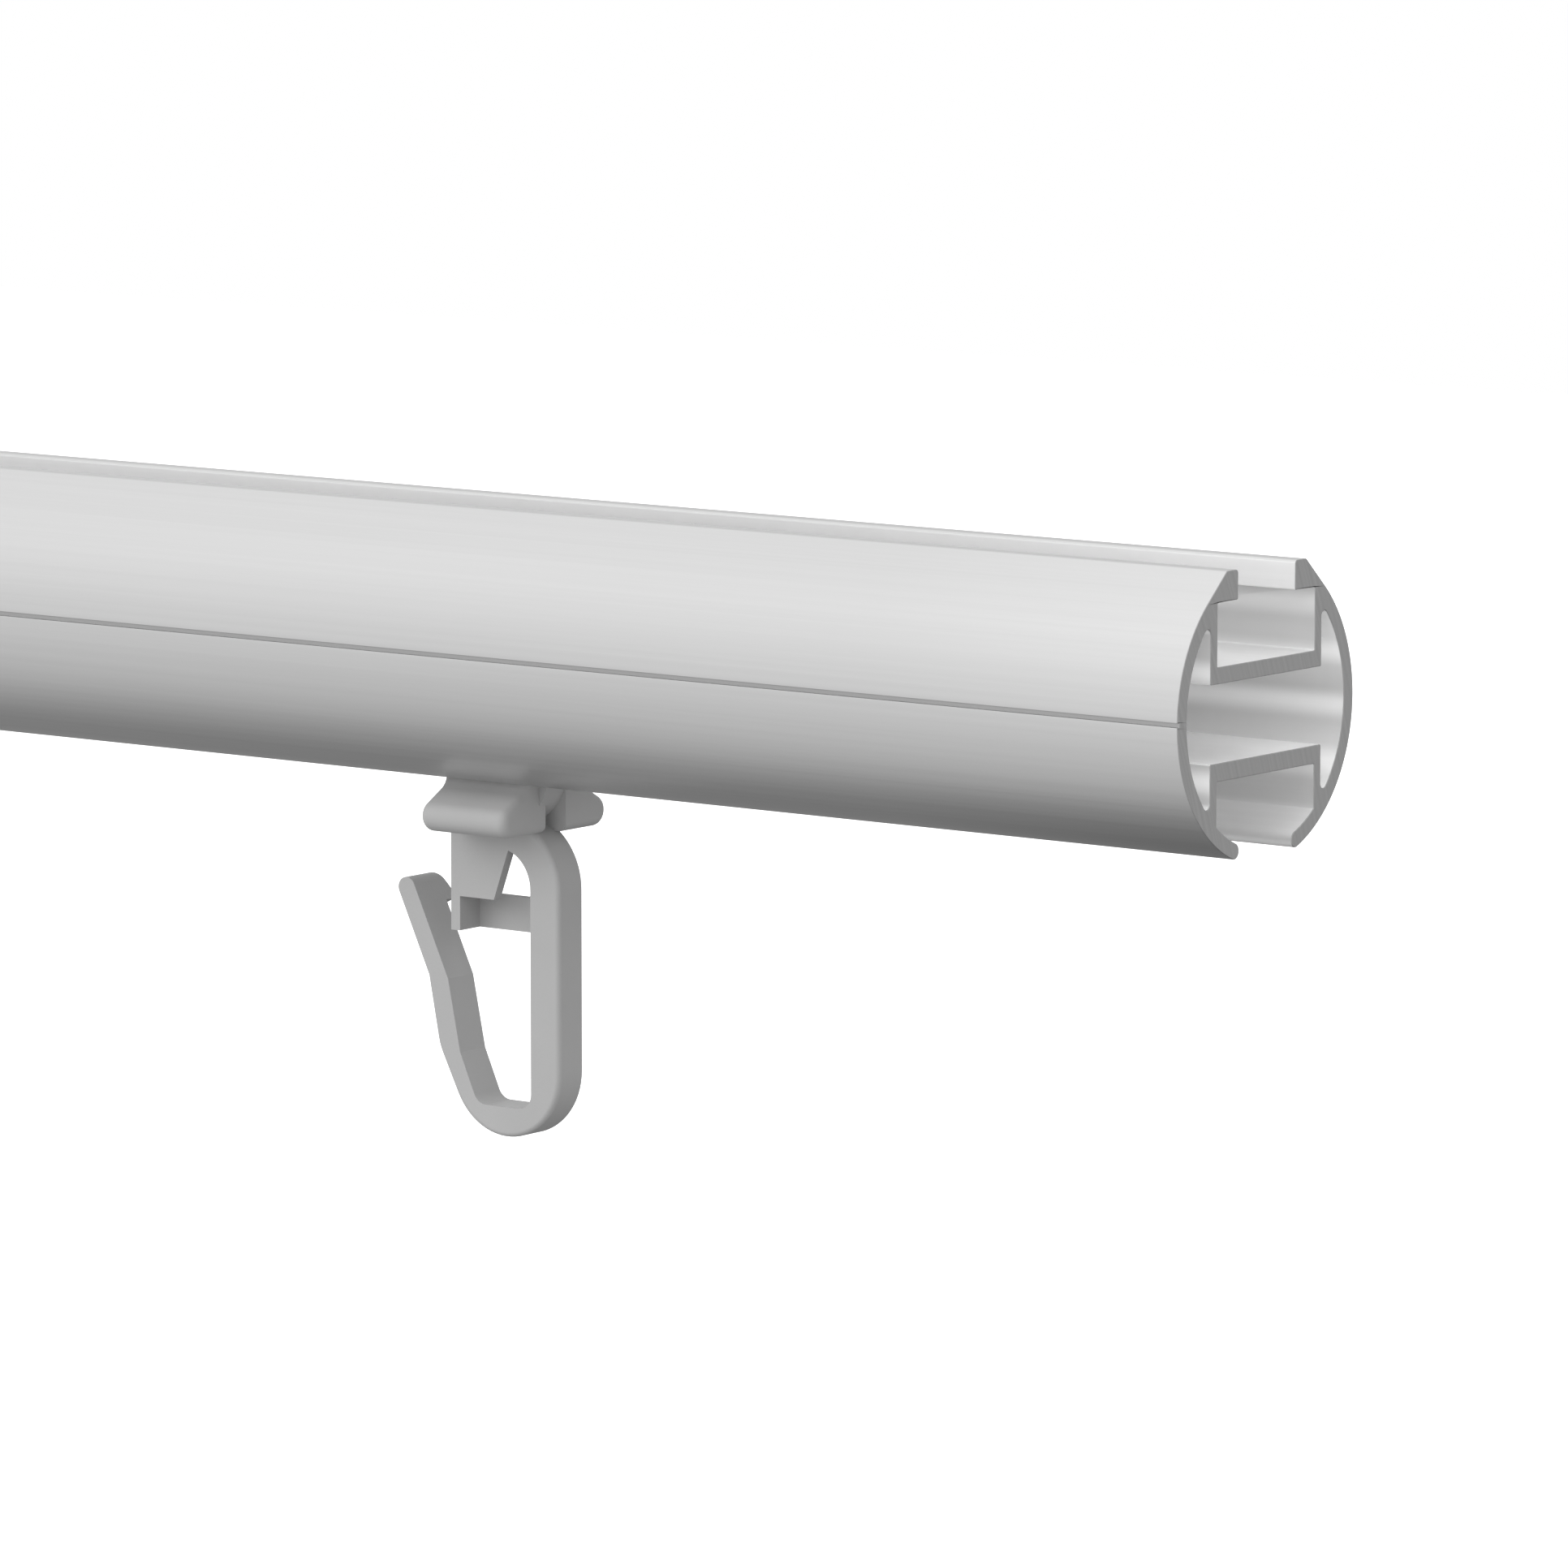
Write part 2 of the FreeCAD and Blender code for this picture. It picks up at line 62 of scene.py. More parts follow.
# Width of one band of a wave texture whose scale is 1
WAVE_UNIT = math.pi / 10
# Inputs of a Mix node: its share, its two numbers and its two colours
MIX_SHARE = 0
MIX_NUMBER_FROM = 2
MIX_NUMBER_TO = 3
MIX_COLOUR_FROM = 6
MIX_COLOUR_TO = 7
# Output of a Mix node that gives the mixed colour
MIXED_COLOUR = 2

log = logging.getLogger("curtain_rod")


# Colour and nodes


def linear(hex_colour: str) -> tuple[float, float, float, float]:
    """Turn an sRGB hex colour into the linear values that a shader takes.

    Args:
        hex_colour: six hex digits after a hash, such as "#b8b8b8".

    Returns:
        Red, green and blue as linear light, and an alpha of 1.
    """
    srgb = np.array([int(hex_colour[i : i + 2], 16) for i in (1, 3, 5)]) / 255.0
    light = np.where(srgb <= 0.04045, srgb / 12.92, ((srgb + 0.055) / 1.055) ** 2.4)
    return (*light.tolist(), 1.0)


def add_node(
    tree: bpy.types.NodeTree,
    kind: str,
    settings: dict[str, Any] | None = None,
    links: dict[str | int, bpy.types.NodeSocket] | None = None,
    **values: Any,
) -> bpy.types.Node:
    """Add one node to a tree.

    Args:
        tree: the material's or the world's node tree.
        kind: the node's type name.
        settings: values for input sockets, by the socket's name or number.
        links: sockets that feed the node's inputs, by the input's name or number.
        **values: properties of the node itself, such as its operation.

    Returns:
        The new node.
    """
    node = tree.nodes.new(kind)
    for name, value in values.items():
        setattr(node, name, value)
    for name, value in (settings or {}).items():
        node.inputs[name].default_value = value
    for name, socket in (links or {}).items():
        tree.links.new(socket, node.inputs[name])
    return node


def start_material(name: str) -> tuple[bpy.types.Material, bpy.types.NodeTree]:
    """Make an empty node material.

    Args:
        name: the material's name.

    Returns:
        The material and its node tree.
    """
    material = bpy.data.materials.new(name)
    material.use_nodes = True
    material.node_tree.nodes.clear()
    return material, material.node_tree


def way_to(azimuth: float, elevation: float) -> Vector:
    """Direction from the object to a camera or a lamp that stands round it.

    Args:
        azimuth: degrees from the front, which is -Y, towards +X.
        elevation: degrees above the level.

    Returns:
        A unit vector.
    """
    turn, rise = math.radians(azimuth), math.radians(elevation)
    return Vector((
        math.sin(turn) * math.cos(rise),
        -math.cos(turn) * math.cos(rise),
        math.sin(rise),
    ))


# Finishes


@dataclass(frozen=True)
class AnodisedAluminium:
    """Extruded aluminium, etched and anodised in natural silver.

    The caustic etch leaves a satin surface, so highlights are broad and soft. The die
    leaves faint lines along the rod, which show as slight streaks in the sheen. Real die
    lines are about 0.1 mm wide and the etched grain 0.03 mm. Both are too fine to show, so
    they are drawn three or four times as coarse.
    """

    name: str = "anodised_aluminium"
    colour: str = "#dddddd"
    streak_colour: str = "#d3d3d3"
    roughness: float = 0.36
    roughness_spread: float = 0.05
    metallic: float = 1.0
    die_line_mm: float = 0.35
    die_line_stretch: float = 0.004
    grain_mm: float = 0.12
    line_depth_mm: float = 0.004
    grain_depth_mm: float = 0.002

    def tint(
        self, tree: bpy.types.NodeTree, place: bpy.types.NodeSocket, lines: bpy.types.NodeSocket
    ) -> bpy.types.NodeSocket:
        """Colour the metal, a little darker in the streaks.

        Args:
            tree: the material's node tree.
            place: the point on the piece.
            lines: the streaks, from 0 to 1.

        Returns:
            The colour.
        """
        mix = add_node(
            tree,
            "ShaderNodeMix",
            {
                MIX_COLOUR_FROM: linear(self.streak_colour),
                MIX_COLOUR_TO: linear(self.colour),
            },
            {MIX_SHARE: lines},
            data_type="RGBA",
        )
        return mix.outputs[MIXED_COLOUR]

    def build(self) -> bpy.types.Material:
        """Build the material.

        The streaks are noise whose scale along X is a few thousandths of its scale across,
        so each runs for several centimetres.

        Returns:
            The finished material.
        """
        material, tree = start_material(self.name)
        place = add_node(tree, "ShaderNodeTexCoord").outputs["Object"]
        across = 1.0 / (self.die_line_mm * MM)
        stretch = add_node(
            tree,
            "ShaderNodeMapping",
            {"Scale": (across * self.die_line_stretch, across, across)},
            {"Vector": place},
        )
        lines = add_node(
            tree,
            "ShaderNodeTexNoise",
            {"Scale": 1.0, "Detail": 3.0},
            {"Vector": stretch.outputs[0]},
        )
        grain = add_node(
            tree,
            "ShaderNodeTexNoise",
            {"Scale": 1.0 / (self.grain_mm * MM), "Detail": 2.0},
            {"Vector": place},
        )
        tint = self.tint(tree, place, lines.outputs[0])
        rough = add_node(
            tree,
            "ShaderNodeMapRange",
            {
                "To Min": self.roughness - self.roughness_spread,
                "To Max": self.roughness + self.roughness_spread,
            },
            {"Value": lines.outputs[0]},
        )
        grooves = add_node(
            tree,
            "ShaderNodeBump",
            {"Strength": 1.0, "Distance": self.line_depth_mm * MM},
            {"Height": lines.outputs[0]},
        )
        etched = add_node(
            tree,
            "ShaderNodeBump",
            {"Strength": 1.0, "Distance": self.grain_depth_mm * MM},
            {"Height": grain.outputs[0], "Normal": grooves.outputs[0]},
        )
        shader = add_node(
            tree,
            "ShaderNodeBsdfPrincipled",
            {"Metallic": self.metallic},
            {
                "Base Color": tint,
                "Roughness": rough.outputs[0],
                "Normal": etched.outputs[0],
            },
        )
        add_node(tree, "ShaderNodeOutputMaterial", None, {"Surface": shader.outputs[0]})
        return material


@dataclass(frozen=True)
class BandedAluminium(AnodisedAluminium):
    """Anodised aluminium inside the section, which nothing but the die has touched.

    The steps of the die's mandrel leave broad bands along the walls that take the bath a
    Soft darker stripes run along the walls into the depth. They are painted reflections,
    laid out by height. Their heights are given
    from the part's origin, on the crown.
    """

    # Colour of the painted reflections: darker stripes that stand in for reflections on the walls
    painted_reflection_colour: str = "#c8c8c8"
    band_mm: float = 3.5
    band_height_mm: float = -12.35
    band_top_mm: float = -2.6
    band_waver: float = 0.3
    band_edges: tuple[float, float] = (0.2, 0.75)

    def painted_reflection_bands(
        self, tree: bpy.types.NodeTree, place: bpy.types.NodeSocket
    ) -> bpy.types.NodeSocket:
        """Lay out the painted reflection bands.

        They are a sine of the height, cut off between the band edges and smoothed. The
        darkest line is at the band height, and again at each band width above and below. A
        noise that hardly changes along X bends them. The steeper a face stands, the more of
        them it shows. Level floors have none, nor have the lips above the band top.

        Args:
            tree: the material's node tree.
            place: the point on the piece.

        Returns:
            The band's share of the colour, from 0 to 1.
        """
        long = add_node(
            tree,
            "ShaderNodeMapping",
            {"Scale": (self.die_line_stretch, 1.0, 1.0)},
            {"Vector": place},
        )
        turns = self.band_height_mm / self.band_mm
        wave = add_node(
            tree,
            "ShaderNodeTexWave",
            {
                "Scale": WAVE_UNIT / (self.band_mm * MM),
                "Distortion": self.band_waver,
                "Detail": 1.0,
                "Phase Offset": math.pi * (1.0 - 2.0 * turns),
            },
            {"Vector": long.outputs[0]},
            bands_direction="Z",
        )
        faces = add_node(tree, "ShaderNodeNewGeometry").outputs["Normal"]
        tilt = add_node(tree, "ShaderNodeSeparateXYZ", None, {0: faces}).outputs["Z"]
        level = add_node(tree, "ShaderNodeMath", None, {0: tilt}, operation="ABSOLUTE")
        steep = add_node(
            tree, "ShaderNodeMath", {0: 1.0}, {1: level.outputs[0]}, operation="SUBTRACT"
        )
        height = add_node(tree, "ShaderNodeSeparateXYZ", None, {0: place}).outputs["Z"]
        below = add_node(
            tree,
            "ShaderNodeMath",
            {1: self.band_top_mm * MM},
            {0: height},
            operation="LESS_THAN",
        )
        most = add_node(
            tree,
            "ShaderNodeMath",
            None,
            {0: steep.outputs[0], 1: below.outputs[0]},
            operation="MULTIPLY",
        )
        share = add_node(
            tree,
            "ShaderNodeMapRange",
            {"From Min": self.band_edges[0], "From Max": self.band_edges[1]},
            {"Value": wave.outputs["Fac"], "To Max": most.outputs[0]},
            interpolation_type="SMOOTHSTEP",
        )
        return share.outputs[0]

    def tint(
        self, tree: bpy.types.NodeTree, place: bpy.types.NodeSocket, lines: bpy.types.NodeSocket
    ) -> bpy.types.NodeSocket:
        """Colour the metal, darker in the painted reflection bands.

        Args:
            tree: the material's node tree.
            place: the point on the piece.
            lines: the streaks, from 0 to 1.

        Returns:
            The colour.
        """
        # Painted reflections: the bands darken the metal's colour
        mix = add_node(
            tree,
            "ShaderNodeMix",
            {MIX_COLOUR_TO: linear(self.painted_reflection_colour)},
            {
                MIX_SHARE: self.painted_reflection_bands(tree, place),
                MIX_COLOUR_FROM: super().tint(tree, place, lines),
            },
            data_type="RGBA",
        )
        return mix.outputs[MIXED_COLOUR]


@dataclass(frozen=True)
class MatteAnodisedAluminium(BandedAluminium):
    """The same anodised skin inside the two channels.

    The skin there is far more matte. Its colour is paler than the outer skin's, which is
    painted light that brightens the shaded channels, and it shows painted reflection bands.
    """

    name: str = "anodised_aluminium_channels"
    # Paler than the outer skin: painted light in the shaded channels
    colour: str = "#f6f6f6"
    streak_colour: str = "#eeeeee"
    # Colour of the painted reflection bands in the channels
    painted_reflection_colour: str = "#d2d2d2"
    band_edges: tuple[float, float] = (-0.3, 0.75)
    roughness: float = 0.72
    roughness_spread: float = 0.06
    metallic: float = 0.88


@dataclass(frozen=True)
class BrightenedChamberAluminium(BandedAluminium):
    """The skin of the closed chamber, where the baths drain last.

    Its paler colour and lower metallic share scatter most of the light that comes in at the
    open end, so the chamber looks paler than the sawn face around it. The paler colour is
    painted light, which lifts the chamber out of its own shade.
    """

    name: str = "anodised_aluminium_chamber"
    # Paler than the outer skin: painted light in the shaded chamber
    colour: str = "#f2f2f2"
    streak_colour: str = "#eaeaea"
    # Colour of the painted reflection bands in the chamber
    painted_reflection_colour: str = "#b2b2b2"
    band_edges: tuple[float, float] = (-0.4, 0.75)
    roughness: float = 0.3
    metallic: float = 0.45


@dataclass(frozen=True)
class GrooveAluminium(AnodisedAluminium):
    """The floor and flanks of the sight line: rougher, and darker in colour, which is painted
    shade in the groove.
    """

    name: str = "anodised_aluminium_groove"
    # Darker than the outer skin: painted shade in the groove
    colour: str = "#c4c4c4"
    streak_colour: str = "#bababa"
    roughness: float = 0.55


@dataclass(frozen=True)
class SawnAluminium:
    """The bare end of the bar, cut by a fine circular saw after anodising.

    The teeth leave shallow, nearly parallel arcs, and the metal between them is greyer
    and duller than the anodised skin. Real marks are about 0.1 mm apart, too fine to show,
    so they are drawn nearly three times as coarse.
    """

    colour: str = "#bebebe"
    scored_colour: str = "#aeaeae"
    roughness: float = 0.5
    tooth_mark_mm: float = 0.28
    blade_radius_mm: float = 125.0
    blade_drop: float = 0.45
    mark_depth_mm: float = 0.006

    def build(self) -> bpy.types.Material:
        """Build the material.

        The marks are rings about a line along X that lies one blade radius in front of the
        rod, and that radius times the blade's drop below it. They cross the section as
        almost straight arcs, because a point's mark goes by its distance from the line.

        Returns:
            The finished material.
        """
        away = self.blade_radius_mm * MM
        material, tree = start_material("sawn_aluminium")
        place = add_node(tree, "ShaderNodeTexCoord").outputs["Object"]
        centre = add_node(
            tree,
            "ShaderNodeMapping",
            {
                "Location": (0.0, away, away * self.blade_drop),
                "Scale": (0.0, 1.0, 1.0),
            },
            {"Vector": place},
        )
        radius = add_node(
            tree, "ShaderNodeVectorMath", None, {0: centre.outputs[0]}, operation="LENGTH"
        )
        scaled = add_node(
            tree,
            "ShaderNodeMath",
            {1: 1.0 / (self.tooth_mark_mm * MM)},
            {0: radius.outputs["Value"]},
            operation="MULTIPLY",
        )
        marks = add_node(
            tree,
            "ShaderNodeTexNoise",
            {"Scale": 1.0, "Detail": 2.0},
            {"W": scaled.outputs[0]},
            noise_dimensions="1D",
        )
        tint = add_node(
            tree,
            "ShaderNodeMix",
            {
                MIX_COLOUR_FROM: linear(self.scored_colour),
                MIX_COLOUR_TO: linear(self.colour),
            },
            {MIX_SHARE: marks.outputs[0]},
            data_type="RGBA",
        )
        bump = add_node(
            tree,
            "ShaderNodeBump",
            {"Strength": 1.0, "Distance": self.mark_depth_mm * MM},
            {"Height": marks.outputs[0]},
        )
        shader = add_node(
            tree,
            "ShaderNodeBsdfPrincipled",
            {"Metallic": 1.0, "Roughness": self.roughness},
            {"Base Color": tint.outputs[MIXED_COLOUR], "Normal": bump.outputs[0]},
        )
        add_node(tree, "ShaderNodeOutputMaterial", None, {"Surface": shader.outputs[0]})
        return material


@dataclass(frozen=True)
class MouldedAcetal:
    """Acetal, injection moulded in grey from a spark-eroded tool.

    The tool's fine texture makes it matte with a soft sheen, and the colour is almost even,
    with faint flow clouds. The real texture is about 0.04 mm wide, too fine to show, so it
    is drawn four times as coarse.
    """

    colour: str = "#b0b0b0"
    cloud_colour: str = "#a9a9a9"
    roughness: float = 0.48
    ior: float = 1.48
    cloud_mm: float = 5.0
    texture_mm: float = 0.16
    texture_depth_mm: float = 0.008

    def build(self) -> bpy.types.Material:
        """Build the material.

        Returns:
            The finished material.
        """
        material, tree = start_material("moulded_acetal")
        place = add_node(tree, "ShaderNodeTexCoord").outputs["Object"]
        clouds = add_node(
            tree,
            "ShaderNodeTexNoise",
            {"Scale": 1.0 / (self.cloud_mm * MM), "Detail": 2.0},
            {"Vector": place},
        )
        pits = add_node(
            tree,
            "ShaderNodeTexNoise",
            {"Scale": 1.0 / (self.texture_mm * MM), "Detail": 2.0},
            {"Vector": place},
        )
        tint = add_node(
            tree,
            "ShaderNodeMix",
            {
                MIX_COLOUR_FROM: linear(self.cloud_colour),
                MIX_COLOUR_TO: linear(self.colour),
            },
            {MIX_SHARE: clouds.outputs[0]},
            data_type="RGBA",
        )
        bump = add_node(
            tree,
            "ShaderNodeBump",
            {"Strength": 1.0, "Distance": self.texture_depth_mm * MM},
            {"Height": pits.outputs[0]},
        )
        shader = add_node(
            tree,
            "ShaderNodeBsdfPrincipled",
            {"Roughness": self.roughness, "IOR": self.ior},
            {"Base Color": tint.outputs[MIXED_COLOUR], "Normal": bump.outputs[0]},
        )
        add_node(tree, "ShaderNodeOutputMaterial", None, {"Surface": shader.outputs[0]})
        return material


# The rod


class Edge(Enum):
    """How an outline goes on from a corner to the next one."""

    LINE = 0
    ARC_LEFT = 1
    ARC_RIGHT = -1


@dataclass(frozen=True)
class Corner:
    """One corner of a section, from the rod's axis, with its round and the edge after it."""

    y: float
    z: float
    radius: float
    edge: Edge = Edge.LINE

    def place(self) -> np.ndarray:
        """Return the corner as a point of the section."""
        return np.array([self.y, self.z])

    def heading(self, towards: np.ndarray, at: np.ndarray) -> np.ndarray:
        """Direction of this corner's edge at one of its ends.

        Args:
            towards: the corner that the edge runs to.
            at: the end where the direction is wanted.

        Returns:
            A unit vector. On an arc it is the tangent, at a right angle to the radius.
        """
        if self.edge is Edge.LINE:
            along = towards - self.place()
        else:
            along = np.array([-at[1], at[0]]) * self.edge.value
        return along / np.linalg.norm(along)


def walk(edge: Edge, start: np.ndarray, end: np.ndarray, begin: float, leave: float) -> np.ndarray:
    """Points along one edge, short of its corners' rounds.

    A line is start plus a share of the way to end. An arc turns about the rod's axis at a
    steady radius, and its shares are shares of the angle.

    Args:
        edge: line, or arc to the left or right.
        start: corner where the edge starts.
        end: corner where it ends.
        begin: length left to the first corner's round.
        leave: length left to the last corner's round.

    Returns:
        An array of points, one row each.
    """
    if edge is Edge.LINE:
        way = end - start
        length = np.linalg.norm(way)
        shares = np.array([[begin / length], [1.0 - leave / length]])
        return start + shares * way
    radius = float(np.linalg.norm(start))
    first = math.atan2(start[1], start[0])
    sweep = (math.atan2(end[1], end[0]) - first) * edge.value % (2 * math.pi)
    count = max(ARC_POINTS, round(sweep * radius / ARC_STEP))
    angle = np.linspace(begin / radius, sweep - leave / radius, count) * edge.value + first
    return radius * np.stack([np.cos(angle), np.sin(angle)], axis=1)


def round_corner(before: np.ndarray, corner: np.ndarray, after: np.ndarray) -> np.ndarray:
    """Points on the round between two edges.

    The round is a rational quadratic curve with the corner as its middle control point and
    the cosine of half its sweep as that point's weight, which is a true circular arc.

    Args:
        before: last point of the edge that arrives.
        corner: the sharp corner.
        after: first point of the edge that leaves.

    Returns:
        Points between the two, without either.
    """
    first, last = before - corner, after - corner
    between = np.clip(first @ last / (np.linalg.norm(first) * np.linalg.norm(last)), -1.0, 1.0)
    weight = math.sin(math.acos(between) / 2)
    t = np.linspace(0.0, 1.0, ROUND_POINTS)[1:-1, None]
    shares = ((1 - t) ** 2, 2 * weight * t * (1 - t), t**2)
    blend = shares[0] * before + shares[1] * corner + shares[2] * after
    return blend / sum(shares)


def trace(corners: Sequence[Corner]) -> np.ndarray:
    """The closed outline through some corners, with each one rounded.

    A round of radius r between edges that turn by an angle a starts r times tan(a / 2)
    before the corner and ends as far after it.

    Args:
        corners: the corners in order.

    Returns:
        An array of points, one row each, not repeated at the end. A corner that is a
        tangent point needs no round and stays as one point.
    """
    places = [corner.place() for corner in corners]
    count = len(corners)
    cuts = []
    for index, corner in enumerate(corners):
        last = corners[index - 1]
        arriving = last.heading(places[index], places[index])
        leaving = corner.heading(places[(index + 1) % count], places[index])
        turn = math.acos(float(np.clip(arriving @ leaving, -1.0, 1.0)))
        cuts.append(corner.radius * math.tan(turn / 2))
    edges = [
        walk(corner.edge, places[i], places[(i + 1) % count], cuts[i], cuts[(i + 1) % count])
        for i, corner in enumerate(corners)
    ]
    pieces = []
    for index, edge in enumerate(edges):
        if cuts[index] > 0.0:
            pieces.append(round_corner(edges[index - 1][-1], places[index], edge[0]))
        pieces.append(edge)
    outline = np.concatenate(pieces)
    step = np.linalg.norm(outline - np.roll(outline, 1, axis=0), axis=1)
    return outline[step > SAME_PLACE]


def outward(outline: np.ndarray) -> np.ndarray:
    """Unit normals of a closed outline, to the right of its direction, away from the metal.

    Args:
        outline: points of the outline, one row each.

    Returns:
        One normal for each point, at a right angle to the chord between its neighbours.
    """
    chord = np.roll(outline, -1, axis=0) - np.roll(outline, 1, axis=0)
    normal = np.stack([chord[:, 1], -chord[:, 0]], axis=1)
    return normal / np.linalg.norm(normal, axis=1, keepdims=True)


class Region(Enum):
    """Where a face of the rod lies. Its number is that of its material slot."""

    SKIN = 0
    CHANNEL = 1
    SIGHT_LINE = 2
    CHAMBER = 3
    BARE = 4


@dataclass
class RodProfile:
    """The extrusion: a round tube with a bracket channel above and a glider channel below.

    Heights are given from the tube's axis, which runs one radius under the part's origin.
    """

    length: float = 600.0
    radius: float = 10.0
    bore: float = 8.95
    channel_half: float = 5.55
    channel_outer: float = 6.3
    upper_lip: float = 7.45
    upper_floor: float = 3.3
    upper_web: float = 2.2
    upper_slot_half: float = 3.25
    land_half: float = 4.5
    land_drop: float = 0.6
    land_round: float = 0.25
    lower_roof: float = -4.1
    lower_web: float = -2.9
    lower_slot_half: float = 3.0
    lip_round: float = 0.5
    cavity_round: float = 0.38
    line_half: float = 0.15
    line_depth: float = 0.2
    line_round: float = 0.03
    die_round: float = 0.12
    edge_break: float = 0.05
    edge_points: int = 4
    ring_spacing: float = 25.0
    skin: AnodisedAluminium = field(default_factory=AnodisedAluminium)
    inside: MatteAnodisedAluminium = field(default_factory=MatteAnodisedAluminium)
    groove: GrooveAluminium = field(default_factory=GrooveAluminium)
    chamber: BrightenedChamberAluminium = field(default_factory=BrightenedChamberAluminium)
    cut: SawnAluminium = field(default_factory=SawnAluminium)

    @staticmethod
    def on_round(y: float, radius: float) -> float:
        """Height above the rod's axis where a circle about it stands y to the side."""
        return math.sqrt(radius**2 - y**2)

    def land_touch(self) -> tuple[float, float]:
        """Where the flank of a crown land meets the round as a tangent.

        The tangent from a point P touches the circle of radius R at P R^2 / d^2, moved at a
        right angle to P by R / d^2 times the tangent's length times P, where d is the
        distance of P from the axis.

        Returns:
            The touching point's Y and Z from the rod's axis.
        """
        edge, top = self.land_half, self.radius - self.land_drop
        square = edge**2 + top**2
        inward = self.radius**2 / square
        aside = self.radius * math.sqrt(square - self.radius**2) / square
        return edge * inward + top * aside, top * inward - edge * aside

    def outer_outline(self) -> np.ndarray:
        """The outer skin with both channels, which are open to it through their slots.

        Returns:
            Points of the outline, with the metal on its left.
        """
        soft, worn = self.die_round, self.land_round
        slot, gate, half = self.upper_slot_half, self.lower_slot_half, self.channel_half
        land, top = self.land_half, self.radius - self.land_drop
        touch_y, touch_z = self.land_touch()
        tip, tip_top = self.on_round(gate, self.radius), self.on_round(gate, self.bore)
        wall = self.on_round(half, self.bore)
        line, edge = self.line_half, self.line_round
        side, deep = self.on_round(line, self.radius), self.radius - self.line_depth
        return trace([
            Corner(gate, -tip, self.lip_round, Edge.ARC_LEFT),
            Corner(touch_y, touch_z, 0.0),
            Corner(land, top, worn),
            Corner(slot, top, worn),
            Corner(slot, self.upper_lip, soft),
            Corner(half, self.upper_lip, soft),
            Corner(half, self.upper_floor, soft),
            Corner(-half, self.upper_floor, soft),
            Corner(-half, self.upper_lip, soft),
            Corner(-slot, self.upper_lip, soft),
            Corner(-slot, top, worn),
            Corner(-land, top, worn),
            Corner(-touch_y, touch_z, 0.0, Edge.ARC_LEFT),
            Corner(-side, line, edge),
            Corner(-deep, line, edge),
            Corner(-deep, -line, edge),
            Corner(-side, -line, edge, Edge.ARC_LEFT),
            Corner(-gate, -tip, self.lip_round),
            Corner(-gate, -tip_top, self.lip_round, Edge.ARC_RIGHT),
            Corner(-half, -wall, soft),
            Corner(-half, self.lower_roof, soft),
            Corner(half, self.lower_roof, soft),
            Corner(half, -wall, soft, Edge.ARC_RIGHT),
            Corner(gate, -tip_top, self.lip_round),
        ])

    def inner_outline(self) -> np.ndarray:
        """The closed middle chamber, with its four horns beside the channels.

        Returns:
            Points of the outline, with the metal on its left.
        """
        soft, horn, outer = self.die_round, self.cavity_round, self.channel_outer
        apex = self.on_round(outer, self.bore)
        return trace([
            Corner(outer, -apex, horn),
            Corner(outer, self.lower_web, soft),
            Corner(-outer, self.lower_web, soft),
            Corner(-outer, -apex, horn, Edge.ARC_RIGHT),
            Corner(-outer, apex, horn),
            Corner(-outer, self.upper_web, soft),
            Corner(outer, self.upper_web, soft),
            Corner(outer, apex, horn, Edge.ARC_RIGHT),
        ])

    def path(self) -> tuple[np.ndarray, np.ndarray]:
        """Places along X, and how far the outline is drawn into the metal at each.

        Between the ends the inset is zero. At each end it follows a quarter circle, which
        breaks the edge of the saw cut.

        Returns:
            The places and the insets.
        """
        half = self.length / 2
        angle = np.linspace(0.0, math.pi / 2, self.edge_points)
        corner_x = half - self.edge_break * (1 - np.sin(angle))
        corner_inset = self.edge_break * (1 - np.cos(angle))
        count = round(self.length / self.ring_spacing) + 1
        middle = np.linspace(-corner_x[0], corner_x[0], count)
        places = np.concatenate([-corner_x[:0:-1], middle, corner_x[1:]])
        insets = np.concatenate([corner_inset[:0:-1], np.zeros(count), corner_inset[1:]])
        return places, insets

    def sweep(self, outline: np.ndarray, first: int) -> tuple[np.ndarray, np.ndarray]:
        """Carry an outline along the rod.

        A point is the outline's point, less the inset times its normal, at that X.

        Args:
            outline: points of the section, one row each.
            first: number of the sweep's first vertex in the mesh.

        Returns:
            Vertices in millimetres and the four-sided faces between them.
        """
        places, insets = self.path()
        section = outline[None] - insets[:, None, None] * outward(outline)[None]
        x = np.broadcast_to(places[:, None, None], section.shape[:2] + (1,))
        points = np.concatenate([x, section - [0.0, self.radius]], axis=2)
        rings, count = section.shape[:2]
        here = np.arange(rings * count).reshape(rings, count) + first
        side = np.roll(here, -1, axis=1)
        faces = np.stack([side[:-1], side[1:], here[1:], here[:-1]], axis=2)
        return points.reshape(-1, 3), faces.reshape(-1, 4)

    def close_end(self, outlines: Sequence[np.ndarray], numbers: np.ndarray) -> np.ndarray:
        """Fill the metal of the section with triangles.

        Args:
            outlines: the outer and inner outline.
            numbers: vertex numbers of their points, in the same order.

        Returns:
            Triangles whose front looks along +X.
        """
        loops = [[Vector((y, z, 0.0)) for y, z in outline] for outline in outlines]
        triangles = np.array(tessellate_polygon(loops))
        flat = np.concatenate(outlines)
        a, b, c = (flat[triangles[:, k]] for k in range(3))
        area = (b - a)[:, 0] * (c - a)[:, 1] - (b - a)[:, 1] * (c - a)[:, 0]
        triangles[area < 0] = triangles[area < 0][:, ::-1]
        return numbers[triangles]

